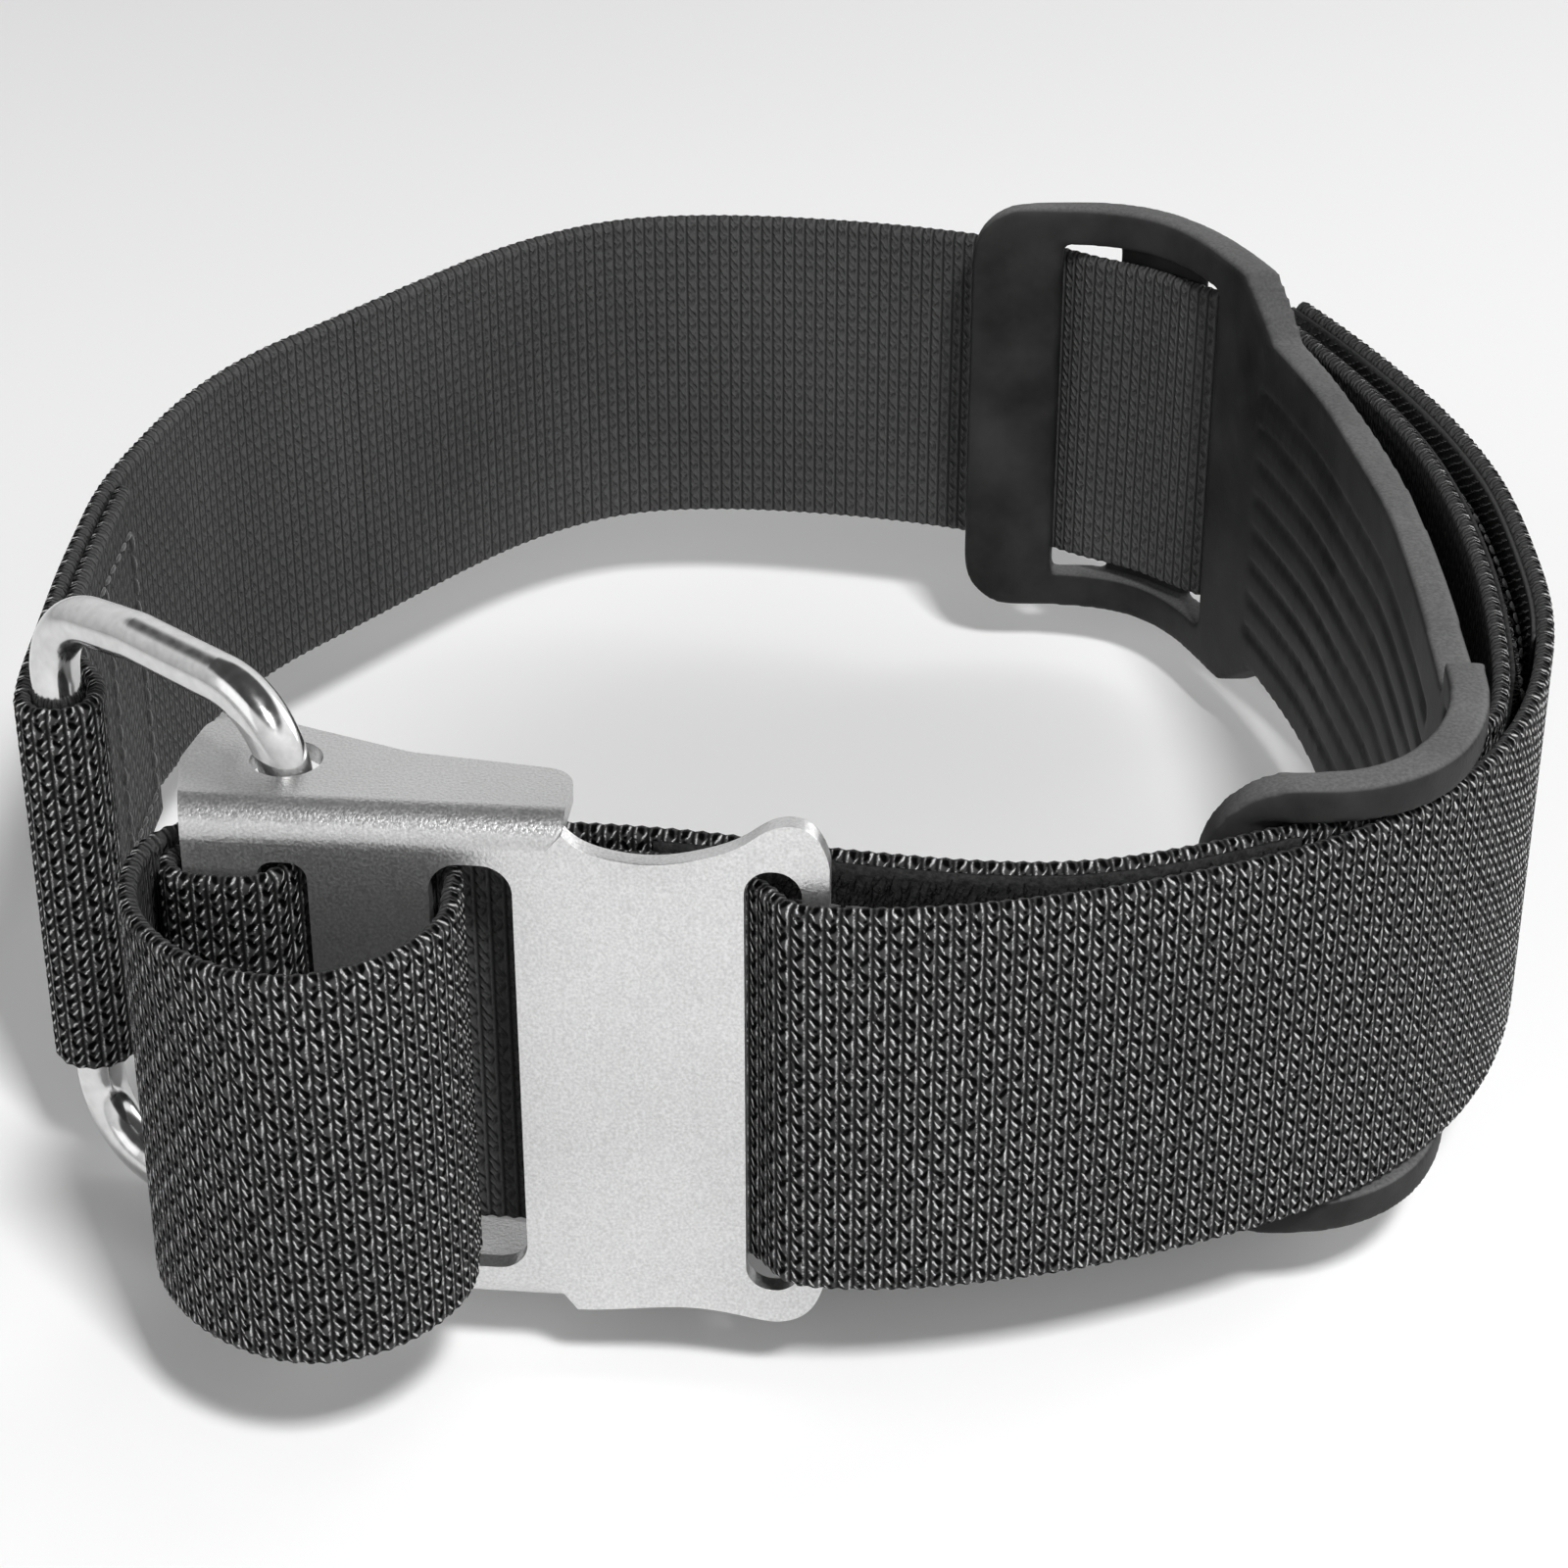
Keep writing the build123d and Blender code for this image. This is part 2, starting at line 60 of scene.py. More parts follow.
# The strap's stretches in the order that the webbing runs, from the sewn end to the free end
STRETCHES = [
    "webbing_sewn_end", "webbing_back", "webbing_back_weave", "webbing_side", "webbing_front_weave",
    "webbing_front", "webbing_slack_loop", "webbing_buckle_weave", "webbing_tail",
]

SAME = 1e-3               # points nearer than this, in millimetres, count as one

# Webbing, in millimetres
STEP = 0.4                # spacing of the points on the strap's centreline
SMOOTHED = 4              # points to either side that the centreline's smoothing takes in
THICK = 2.2
SELVEDGE = 1.0            # width of the rounded part along each edge
RIB = 1.68                # from one rib to the next along the strap
CELLS = 24                # weave cells up the strap, between the selvedges
CELL_SAMPLES = 4          # mesh rows in a cell
RIB_DEEP = 0.2
PIT_DEEP = 0.2
BACK_RELIEF = 0.35        # the inner face's relief as a share of the outer face's
SCALLOP = 0.14            # how far the edges draw in between ribs
FRAY = 1.3                # unevenness of the free end

# The weave's pattern, in millimetres. A pair is a feature's middle and width across a rib; only SMALL_PIT_UP is
# up two cells, in shares of their height
PIT_LEAN = math.radians(33)
PIT_LONG, PIT_SHORT = 0.6, 0.24            # a pit's widths, along and across its lean
SMALL_PIT_UP, SMALL_PIT_ACROSS = (0.49, 0.06), (-0.05, 0.2)
# LEFT_THREAD and RIGHT_THREAD place the threads whose painted highlights stand in for glints
LEFT_THREAD, RIGHT_THREAD = (-0.42, 0.13), (0.45, 0.15)
THREAD_PHASE = 0.41       # where the first thread with a painted highlight lies between two pits of the same lean
THREAD_SLANT = 0.6        # how far a thread with a painted highlight leans across the rib for each millimetre up
GROOVE = 0.2              # width of the groove between two ribs, painted dark as shade

# Tapes, in millimetres
TAPE_GRID = 1.2           # spacing of the base's points
TAPE_MARGIN = 1.0         # from the webbing's edge to the tape's
TAPE_BASE = 0.5           # thickness of the woven base
TAPE_BORDER = 1.2         # bare base at a tape's edges
TAPE_TOUCH = 0.3          # a tape's corners this near the webbing's face lie against it
SINK = 0.05               # how far bases, loops and hooks go into what they stand on
LOOP_THICK, HOOK_THICK = 1.6, 1.1
LOOP_PITCH, HOOK_PITCH = (1.0, 1.0), (1.1, 1.3)
YARN_R = 0.09
YARN_REACH = 0.4          # half a loop's length
YARN_STRAY, YARN_LEAN = 0.35, 0.3          # most that a loop's foot and its top are out of line
YARN_SHORTEST = 0.45      # the shortest loop's height as a share of the tallest one's
HOOK_AHEAD = (0, 0.02, 0.12, 0.32, 0.42)   # a hook's points from foot to tip
HOOK_UP = (-SINK, 0.26, 0.46, 0.52, 0.36)
HOOK_R = (0.13, 0.11, 0.09, 0.08, 0.05)

# Stitches, in millimetres
STITCH_PITCH, STITCH_LONG = 3.2, 2.7
STITCH_SHARES = (-0.5, -0.42, -0.22, 0, 0.22, 0.42, 0.5)   # a stitch's points as shares of its length
STITCH_DIVE = 10          # how steeply a stitch goes into the face at its ends
STITCH_BLUNT = 1.02       # at 1 a stitch's ends would come to a point
THREAD_R = 0.27
ROW_INSET = 5.4           # from the webbing's edge to a row of stitches
ROW_END = 2.0             # from a tape's end to its first stitch
SEWN_ROWS = (3.0, 19.0, 35.0)              # rows across the sewn end, along the strap

random = np.random.default_rng(7)


# ---- The strap's line, read from the CAD nodes ----


def upper_outline(node):
    """The outline of a node's flat upper face in plan, as a closed run of points in millimetres."""
    mesh = frame["nodes"][node].data
    points = [tuple(round(c / MM, 4) for c in v.co) for v in mesh.vertices]
    top = max(p[2] for p in points)
    used = {}
    for face in mesh.polygons:
        corners = [points[i] for i in face.vertices]
        if all(abs(p[2] - top) < SAME for p in corners):
            for a, b in zip(corners, corners[1:] + corners[:1]):
                used[(a, b)] = used.get((a, b), 0) + 1
    following = {a: b for a, b in used if (b, a) not in used}
    run = [next(iter(following))]
    while following[run[-1]] != run[0]:
        run.append(following[run[-1]])
    return np.array(run)[:, :2]


def nearest_on(points, run):
    """For each point, the nearest point on a run of straight segments."""
    a, b = run[:-1], run[1:]
    along = b - a
    lengths = np.maximum((along**2).sum(1), 1e-12)
    share = np.einsum("pij,ij->pi", points[:, None] - a, along) / lengths
    feet = a + np.clip(share, 0, 1)[..., None] * along
    best = ((feet - points[:, None]) ** 2).sum(2).argmin(1)
    return feet[np.arange(len(points)), best]


def middle_line(node):
    """A webbing node's centreline: half way between the long sides of its upper face."""
    loop = upper_outline(node)
    ahead, behind = np.roll(loop, -1, 0) - loop, loop - np.roll(loop, 1, 0)
    turn = np.abs(np.arctan2(
        behind[:, 0] * ahead[:, 1] - behind[:, 1] * ahead[:, 0], (ahead * behind).sum(1)
    ))
    corners = sorted(np.argsort(turn)[-4:])
    loop, corners = np.roll(loop, -corners[0], 0), [c - corners[0] for c in corners] + [len(loop)]
    sides = [np.vstack([loop, loop[:1]])[a:b + 1] for a, b in zip(corners, corners[1:])]
    sides = sorted(sides, key=lambda s: np.linalg.norm(np.diff(s, axis=0), axis=1).sum())[-2:]
    return (sides[0] + nearest_on(sides[0], sides[1])) / 2


def strap_line():
    """The whole strap's centreline as evenly spaced points, and the distance along it at each of them."""
    lines = [middle_line(node) for node in STRETCHES]
    meets = lines[1][[0, -1]]
    for i, line in enumerate(lines):
        gaps = [np.linalg.norm(line[k] - meets, axis=1).min() for k in (0, -1)]
        forwards = gaps[0] < gaps[1] if i else gaps[0] > gaps[1]
        lines[i] = line if forwards else line[::-1]
        meets = lines[i][-1:]
    points = np.vstack(lines)
    points = points[np.r_[True, np.linalg.norm(np.diff(points, axis=0), axis=1) > SAME]]
    distance = np.r_[0, np.linalg.norm(np.diff(points, axis=0), axis=1).cumsum()]
    even = np.arange(0, distance[-1], STEP)
    line = np.column_stack([np.interp(even, distance, points[:, k]) for k in (0, 1)])
    kernel = np.exp(-np.linspace(-2, 2, 2 * SMOOTHED + 1) ** 2)
    kernel /= kernel.sum()
    before, after = 2 * line[0] - line[SMOOTHED:0:-1], 2 * line[-1] - line[-2:-SMOOTHED - 2:-1]
    padded = np.vstack([before, line, after])
    line = np.column_stack([np.convolve(padded[:, k], kernel, "valid") for k in (0, 1)])
    return line, even


LINE, LINE_AT = strap_line()
SLOPE = np.gradient(LINE, STEP, axis=0)
SLOPE /= np.linalg.norm(SLOPE, axis=1)[:, None]
STRAP_LENGTH = LINE_AT[-1]
LOW, HIGH = (c.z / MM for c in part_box("webbing_tail"))
MIDDLE = (LOW + HIGH) / 2
WOVEN = HIGH - LOW - 2 * SELVEDGE          # the height that the weave's cells take up


def station(point):
    """Distance along the strap to the place nearest a point."""
    return LINE_AT[((LINE - np.array(point)[:2]) ** 2).sum(1).argmin()]


def at(distance):
    """Centreline points and the directions to their left, at distances along the strap."""
    where = [np.interp(distance, LINE_AT, LINE[:, k]) for k in (0, 1)]
    slope = [np.interp(distance, LINE_AT, SLOPE[:, k]) for k in (0, 1)]
    return np.column_stack(where), np.column_stack([-slope[1], slope[0]])


def stretch(node):
    """Where a webbing node starts and ends along the strap."""
    ends = middle_line(node)[[0, -1]]
    return sorted(station(p) for p in ends)


def whole_ribs(distance):
    """The nearest distance along the strap that is between two ribs."""
    return round(distance / RIB) * RIB


# ---- Meshes ----


def add_object(name, data):
    made = bpy.data.objects.new(name, data)
    bpy.context.scene.collection.objects.link(made)
    return made


def add_piece(name, points, faces, **attributes):
    """A smooth mesh object from points in millimetres, with named values for its points."""
    mesh = bpy.data.meshes.new(name)
    mesh.from_pydata((np.asarray(points) * MM).tolist(), [], faces)
    for key, values in attributes.items():
        layer = mesh.attributes.new(key, "FLOAT_VECTOR", "POINT")
        layer.data.foreach_set("vector", np.asarray(values, np.float32).ravel())
    mesh.polygons.foreach_set("use_smooth", [True] * len(mesh.polygons))
    mesh.update()
    return add_object(name, mesh)


def tube_faces(rows, ring):
    """Quads that join rings of points into a tube, and its two end caps."""
    grid = np.arange(rows * ring).reshape(rows, ring)
    turned = np.roll(grid, -1, 1)
    quads = np.stack([grid[:-1], turned[:-1], turned[1:], grid[1:]], -1).reshape(-1, 4)
    return quads.tolist() + [grid[0, ::-1].tolist(), grid[-1].tolist()]


def many_tubes(count, rows, ring, first):
    """Faces of equal tubes whose points follow one another, from the first tube's first point."""
    one = tube_faces(rows, ring)
    starts = range(first, first + count * rows * ring, rows * ring)
    return [[start + corner for corner in face] for start in starts for face in one]


def on_strap(distance, height, out):
    """Points beside the strap: how far along it, how high, and how far to the left of its centreline."""
    distance, height, out = np.broadcast_arrays(distance, height, out)
    centre, left = at(distance.ravel())
    return np.column_stack([centre + left * out.ravel()[:, None], height.ravel()])


def weave_height(u, v):
    """Height of the weave from 0 to 1, at u ribs along the strap and v cells up."""
    lean = 1 - 2 * ((np.floor(u) + np.floor(v)) % 2)
    a, b = (u % 1 - 0.5) * RIB, (v % 1 - 0.5) * WOVEN / CELLS
    long_way = a * lean * math.sin(PIT_LEAN) + b * math.cos(PIT_LEAN)
    short_way = a * math.cos(PIT_LEAN) - b * lean * math.sin(PIT_LEAN)
    pit = np.exp(-(long_way / PIT_LONG) ** 2 - (short_way / PIT_SHORT) ** 2)
    ridge = 0.5 - 0.5 * np.cos(2 * math.pi * u)
    return (RIB_DEEP * ridge + PIT_DEEP * (1 - pit)) / (RIB_DEEP + PIT_DEEP)


def webbing(name, start, end, rows_per_rib):
    """A stretch of ribbed webbing between two distances along the strap."""
    distance = np.linspace(start, end, round((end - start) / RIB * rows_per_rib) + 1)[:, None]
    flat = np.linspace(LOW + SELVEDGE, HIGH - SELVEDGE, CELLS * CELL_SAMPLES + 1)
    rounded = np.radians([45, 90, 135])
    up = np.r_[flat, HIGH - SELVEDGE + SELVEDGE * np.sin(rounded)]
    down = np.r_[flat[::-1], LOW + SELVEDGE - SELVEDGE * np.sin(rounded)]
    height = np.r_[up, down]
    side = np.r_[np.ones(len(flat)), np.cos(rounded), -np.ones(len(flat)), -np.cos(rounded)]
    u = distance / RIB
    v = (height - LOW - SELVEDGE) / WOVEN * CELLS
    on_edge = abs(height - MIDDLE) > (HIGH - LOW) / 2 - SELVEDGE + SAME
    valley = 0.5 + 0.5 * np.cos(2 * math.pi * u)
    outside = side * left_is_outside(distance)
    relief = (RIB_DEEP + PIT_DEEP) * (1 - weave_height(u, v)) * np.interp(outside, (-1, 1), (BACK_RELIEF, 1))
    out = side * (THICK / 2 - np.where(on_edge, RIB_DEEP * valley, relief))
    rise = height - np.where(on_edge, SCALLOP * np.sign(height - MIDDLE) * valley, 0)
    ragged = np.convolve(random.random(len(height) + 2), (0.25, 0.5, 0.25), "valid")
    near_cut = np.clip(1 - (STRAP_LENGTH - distance) / (2 * FRAY), 0, 1)
    reach = distance - FRAY * near_cut * ragged
    weave = np.dstack(np.broadcast_arrays(distance, height, outside))
    faces = tube_faces(len(distance), len(height))
    return add_piece(name, on_strap(reach, rise, out), faces, weave=weave)


def threads(sites, heading, ahead, up, radius, corners, first=0):
    """Thin threads that stand on the strap's left side: their points and faces.

    sites are (distance, height), and a thread's path goes ahead along its heading and up from the centreline.
    """
    towards = np.column_stack([np.cos(heading), np.sin(heading)])[:, None, None]
    across = np.column_stack([-np.sin(heading), np.cos(heading)])[:, None, None]
    run = np.stack([np.gradient(ahead, axis=1), np.gradient(up, axis=1)], -1)
    run /= np.linalg.norm(run, axis=2)[..., None]
    turn = np.linspace(0, -2 * math.pi, corners, endpoint=False)
    wide = radius[..., None] * np.cos(turn)
    tall = radius[..., None] * np.sin(turn)
    forward = ahead[..., None] - run[..., 1:] * tall
    out = up[..., None] + run[..., :1] * tall
    flat = sites[:, None, None] + forward[..., None] * towards + wide[..., None] * across
    points = on_strap(flat[..., 0], flat[..., 1], out)
    return points, many_tubes(len(sites), ahead.shape[1], corners, first)


# ---- Materials ----


def set_stops(ramp, stops):
    """Gives a colour ramp its (position, grey) stops."""
    while len(ramp.elements) < len(stops):
        ramp.elements.new(0.5)
    for element, (position, grey) in zip(ramp.elements, stops):
        element.position, element.color = position, (grey, grey, grey, 1)


class Look:
    """A node material round one Principled shader."""

    def __init__(self, name, **settings):
        self.material = bpy.data.materials.new(name)
        self.material.use_nodes = True
        self.tree = self.material.node_tree
        self.shader = self.tree.nodes["Principled BSDF"]
        for socket, value in settings.items():
            self.shader.inputs[socket.replace("_", " ")].default_value = value

    def node(self, kind, inputs=(), **settings):
        """Adds a node; its inputs are values or other nodes' sockets."""
        made = self.tree.nodes.new(kind)
        for key, value in settings.items():
            setattr(made, key, value)
        for socket, value in zip(made.inputs, inputs):
            self.set(socket, value)
        return made

    def set(self, socket, value):
        if isinstance(value, bpy.types.NodeSocket):
            self.tree.links.new(value, socket)
        else:
            socket.default_value = value

    def math(self, operation, *values):
        return self.node("ShaderNodeMath", values, operation=operation).outputs[0]

    def noise(self, scale, detail=2.0, roughness=0.5):
        made = self.node("ShaderNodeTexNoise")
        self.set(made.inputs["Vector"], self.node("ShaderNodeTexCoord").outputs["Object"])
        for socket, value in (("Scale", scale), ("Detail", detail), ("Roughness", roughness)):
            made.inputs[socket].default_value = value
        return made.outputs["Fac"]

    def ramp(self, value, *stops):
        """Maps a value to grey through (position, grey) stops."""
        made = self.node("ShaderNodeValToRGB", [value])
        set_stops(made.color_ramp, stops)
        return made.outputs["Color"]

    def range(self, value, low, high, to_low, to_high):
        made = self.node("ShaderNodeMapRange", [value, low, high, to_low, to_high])
        return made.outputs["Result"]

    def hump(self, value, middle, width):
        """1 where a value is at the middle, falling off to either side."""
        away = self.math("DIVIDE", self.math("SUBTRACT", value, middle), width)
        return self.math("EXPONENT", self.math("MULTIPLY", self.math("MULTIPLY", away, away), -1.0))

    def from_middle(self, value):
        """How far a value is from half way between the whole numbers round it, from -0.5 to 0.5."""
        return self.math("SUBTRACT", self.math("FRACT", value), 0.5)

    def mix(self, share, a, b, kind="MIX"):
        """Mixes two colours; a number stands for a grey."""
        made = self.node("ShaderNodeMix", data_type="RGBA", blend_type=kind)
        for socket, value in (("Factor", share), ("A", a), ("B", b)):
            if socket != "Factor" and isinstance(value, float):
                value = (value, value, value, 1)
            self.set([s for s in made.inputs if s.name == socket and s.enabled][0], value)
        return [s for s in made.outputs if s.enabled][0]

    def bump(self, height, distance, strength=1.0):
        made = self.node("ShaderNodeBump")
        made.inputs["Distance"].default_value = distance
        made.inputs["Strength"].default_value = strength
        self.set(made.inputs["Height"], height)
        self.set(self.shader.inputs["Normal"], made.outputs["Normal"])

    def paint(self, colour, roughness=None):
        self.set(self.shader.inputs["Base Color"], colour)
        if roughness is not None:
            self.set(self.shader.inputs["Roughness"], roughness)
        return self.material


def webbing_look():
    """Black nylon webbing: columns of leaning pits between threads, with a groove on each side. The threads are
    painted light as highlights, and the pits and grooves are painted dark as shade.
    """
    look = Look("webbing")
    woven = look.node("ShaderNodeAttribute", attribute_name="weave").outputs["Vector"]
    along, height, side = look.node("ShaderNodeSeparateXYZ", [woven]).outputs
    cell = WOVEN / CELLS
    uneven = look.range(look.noise(800, 1), 0.25, 0.75, -0.15, 0.15)
    u = look.math("DIVIDE", along, RIB)
    v = look.math("DIVIDE", look.math("SUBTRACT", look.math("ADD", height, uneven), LOW + SELVEDGE), cell)
    rib = look.math("FLOOR", u)
    both = look.math("ADD", rib, look.math("FLOOR", v))
    lean = look.math("MULTIPLY_ADD", look.math("FRACT", look.math("MULTIPLY", both, 0.5)), -4.0, 1.0)
    across = look.math("MULTIPLY", look.from_middle(u), RIB)
    a = look.math("ADD", across, look.range(look.noise(1100, 1), 0.25, 0.75, -0.09, 0.09))
    b = look.math("MULTIPLY", look.from_middle(v), cell)
    sine, cosine = math.sin(PIT_LEAN), math.cos(PIT_LEAN)
    leaned_a, leaned_b = look.math("MULTIPLY", a, lean), look.math("MULTIPLY", b, lean)
    long_way = look.math("MULTIPLY_ADD", leaned_a, sine, look.math("MULTIPLY", b, cosine))
    short_way = look.math("MULTIPLY_ADD", leaned_b, -sine, look.math("MULTIPLY", a, cosine))
    pit = look.math("MULTIPLY", look.hump(long_way, 0.0, PIT_LONG), look.hump(short_way, 0.0, PIT_SHORT))

    # Every two cells up a rib hold a pit of each lean, one small pit between them and three threads. The
    # threads get painted highlights, and the pits and the groove get painted shade.
    pair = look.math("FRACT", look.math("MULTIPLY", look.math("ADD", rib, v), 0.5))
    small = look.math("MULTIPLY", look.hump(pair, *SMALL_PIT_UP), look.hump(a, *SMALL_PIT_ACROSS))
    third = look.from_middle(look.math("MULTIPLY_ADD", pair, 3.0, THREAD_PHASE))
    left = look.hump(look.math("MULTIPLY_ADD", third, THREAD_SLANT * 2 * cell / 3, a), *LEFT_THREAD)
    left = look.math("MULTIPLY", left, look.math("MULTIPLY_ADD", look.hump(third, 0.0, 0.28), 0.85, 0.15))
    right = look.math("MULTIPLY", look.hump(a, *RIGHT_THREAD), look.math("MULTIPLY_ADD", lean, 0.15, 0.75))
    groove = look.hump(look.math("SUBTRACT", look.math("ABSOLUTE", across), RIB / 2), 0.0, GROOVE)
    fibre = look.range(look.noise(1500, 3, 0.7), 0.36, 0.64, 0.15, 1.6)
    painted_light = look.math("MULTIPLY", fibre, look.math("MULTIPLY_ADD", right, 0.4, left))
    # Painted shade: the pits and the grooves between ribs are darkened where shade falls
    painted_shade = look.math("MULTIPLY_ADD", small, -0.4, look.math("MULTIPLY", groove, -0.2))
    painted_shade = look.math("MULTIPLY_ADD", pit, -0.8, painted_shade)
    painted_light = look.math("ADD", painted_light, look.math("ADD", painted_shade, 0.345))
    # Outer face: painted shade in the pits and grooves, painted highlights on the threads
    outer = look.ramp(painted_light, (0.0, 0.001), (0.22, 0.012), (0.45, 0.062), (0.95, 0.8))
    # Inner face: weaker painted light, with painted shade in the grooves
    inner = look.mix(groove, look.ramp(painted_light, (0.0, 0.058), (0.4, 0.073), (1.0, 0.094)), 0.02)
    outside = look.range(side, -0.2, 0.2, 0.0, 1.0)
    patches = look.ramp(look.noise(28, 3), (0.3, 0.78), (0.7, 1.0))
    look.bump(painted_light, 0.0004, 0.9)
    look.set(look.shader.inputs["Specular IOR Level"], look.range(painted_light, 0.1, 0.8, 0.03, 0.4))
    return look.paint(look.mix(1.0, look.mix(outside, inner, outer), patches, "MULTIPLY"),
                      look.range(painted_light, 0.2, 0.8, 0.75, 0.38))


def pile_look():
    """Loop tape: matt black pile on a woven base."""
    look = Look("loop_pile", Roughness=0.9, Specular_IOR_Level=0.2)
    tuft = look.node("ShaderNodeAttribute", attribute_name="tuft").outputs["Vector"]
    fleck = look.noise(1400, 3, 0.7)
    pile = look.ramp(fleck, (0.4, 0.003), (0.62, 0.01), (0.8, 0.05))
    look.bump(fleck, 0.0003, 0.8)
    return look.paint(look.mix(tuft, look.ramp(fleck, (0.3, 0.006), (0.8, 0.04)), pile))


def hook_look():
    """Hook tape: stiff nylon hooks, glossier than their woven base."""
    look = Look("hook_tape", Specular_IOR_Level=0.4)
    tuft = look.node("ShaderNodeAttribute", attribute_name="tuft").outputs["Vector"]
    grain = look.noise(1600, 3)
    look.bump(grain, 0.0001)
    base = look.ramp(grain, (0.3, 0.004), (0.75, 0.03))
    return look.paint(look.mix(tuft, base, look.ramp(grain, (0.3, 0.01), (0.7, 0.03))),
                      look.range(grain, 0.3, 0.7, 0.35, 0.6))


def thread_look():
    look = Look("thread", Sheen_Weight=0.3, Roughness=0.6)
    twist = look.noise(1800, 2)
    look.bump(twist, 0.0001)
    return look.paint(look.ramp(twist, (0.3, 0.02), (0.7, 0.06)))


def rubber_look():
    """Moulded rubber, dark on its faces and greyed where it faces up, partly by bloom and dust and partly by
    painted light from above and painted sheen.
    """
    look = Look("pad_rubber", Specular_IOR_Level=0.12)
    patches, grain, cloud = look.noise(60, 4), look.noise(2200, 3), look.noise(160, 3, 0.6)
    # Faces that point up are painted lighter: painted light from above and painted sheen, together with some
    # bloom and dust
    normal = look.node("ShaderNodeNewGeometry").outputs["Normal"]
    upward = look.node("ShaderNodeSeparateXYZ", [normal]).outputs[2]
    upward, speckle = look.range(upward, 0.45, 0.95, 0.0, 1.0), look.range(grain, 0.3, 0.7, 0.55, 1.0)
    bloom_and_top_light = look.math("MULTIPLY", upward, speckle)
    cloudy = look.ramp(cloud, (0.3, 0.01), (0.7, 0.03))
    plain = look.mix(0.5, look.ramp(patches, (0.35, 0.006), (0.68, 0.042)), cloudy)
    dust_and_top_light_grey = look.ramp(patches, (0.3, 0.1), (0.7, 0.15))
    look.bump(grain, 0.00006, 0.6)
    return look.paint(look.mix(bloom_and_top_light, plain, dust_and_top_light_grey), look.range(patches, 0.3, 0.7, 0.5, 0.65))


def blasted_look():
    """Bead-blasted stainless steel."""
    look = Look("lever_steel", Metallic=0.9)
    grain, stain = look.noise(3000, 2, 0.5), look.noise(60, 3)
    look.bump(grain, 0.00006, 0.8)
    specks, stains = look.ramp(grain, (0.3, 0.44), (0.7, 0.8)), look.ramp(stain, (0.3, 0.56), (0.7, 0.68))
    return look.paint(look.mix(0.5, specks, stains), look.range(grain, 0.3, 0.7, 0.28, 0.38))


def polished_look():
    """Polished stainless wire with faint drawing marks."""
    look = Look("bail_steel", Metallic=1.0)
    marks = look.noise(700, 3)
    look.bump(marks, 0.00001, 0.5)
    return look.paint(look.ramp(marks, (0.3, 0.62), (0.7, 0.74)), look.range(marks, 0.3, 0.7, 0.12, 0.2))


def give(piece, material):
    piece.data.materials.clear()
    piece.data.materials.append(material)
    return piece


# ---- The strap ----

WEBBING = webbing_look()
PIVOT, SLOT = station(JOINTS["lever_turn"]), station(JOINTS["tail_peel"])
BACK = stretch("webbing_back")
BACK_WEAVE = stretch("webbing_back_weave")
SIDE = stretch("webbing_side")
FRONT_WEAVE = stretch("webbing_front_weave")
LOOP = stretch("webbing_slack_loop")

# Lengths of webbing, in millimetres
FRONT_BEND = 40.0         # before the pivot, that bends as the bail swings
PIVOT_BEND = 14.0         # past the pivot, that bends as the lever turns
TAIL_BEND = 3.0, 4.0      # before and after the end slot, that bend as the tail peels
SLOT_REACH = 12.0, 16.0   # before and after the end slot, that are one piece
LEG_WRAP = 18.0           # round the bail's leg
INTO_LEVER = 29.5         # behind the lever's face before it comes out at the lever's end
OUT_OF_LEVER = 8.0        # over which it comes out there
BACK_INTO_SLOT = 18.0     # from where it starts to go back in, to the slot

# Where along the strap its left face comes to be on the outside, 1, or the inside, -1
FACES = [
    (BACK[0] - LEG_WRAP, -1), (BACK[0] - LEG_WRAP / 2, 1), (PIVOT, 1), (PIVOT + PIVOT_BEND, -1),
    (LOOP[1] + INTO_LEVER - OUT_OF_LEVER, -1), (LOOP[1] + INTO_LEVER, 1),
    (SLOT - BACK_INTO_SLOT, 1), (SLOT - SLOT_REACH[0], -1),
]


def left_is_outside(distance):
    """1 where the strap's left face is on the outside and -1 where it is on the inside."""
    return np.interp(distance, *zip(*FACES))


def follow(piece, nodes, body=None, bend=None):
    """A piece that stands for CAD nodes rides on a body, or, given a bend, has its place fixed in its points;
    the CAD nodes are hidden.
    """
    if bend:
        start, end = (tuple(point * MM for point in on_strap(d, MIDDLE, 0)[0]) for d in bend[2:])
        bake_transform(piece)
    else:
        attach(piece, body)
    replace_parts(piece, *nodes)


def strap_piece(name, start, end, nodes, rows_per_rib=4, **follows):
    """A piece of the strap, cut between ribs."""
    piece = webbing(name, whole_ribs(start), min(whole_ribs(end), STRAP_LENGTH), rows_per_rib)
    follow(give(piece, WEBBING), nodes, **follows)


FRONT_TURN = ("band", "bail", PIVOT - FRONT_BEND, PIVOT)
LEVER_TURN = ("bail", "lever", PIVOT, PIVOT + PIVOT_BEND)
TAIL_TURN = ("lever", "tail", SLOT - TAIL_BEND[0], SLOT + TAIL_BEND[1])
MID_BACK = sum(BACK) / 2
MID_TAIL = (SLOT + STRAP_LENGTH) / 2

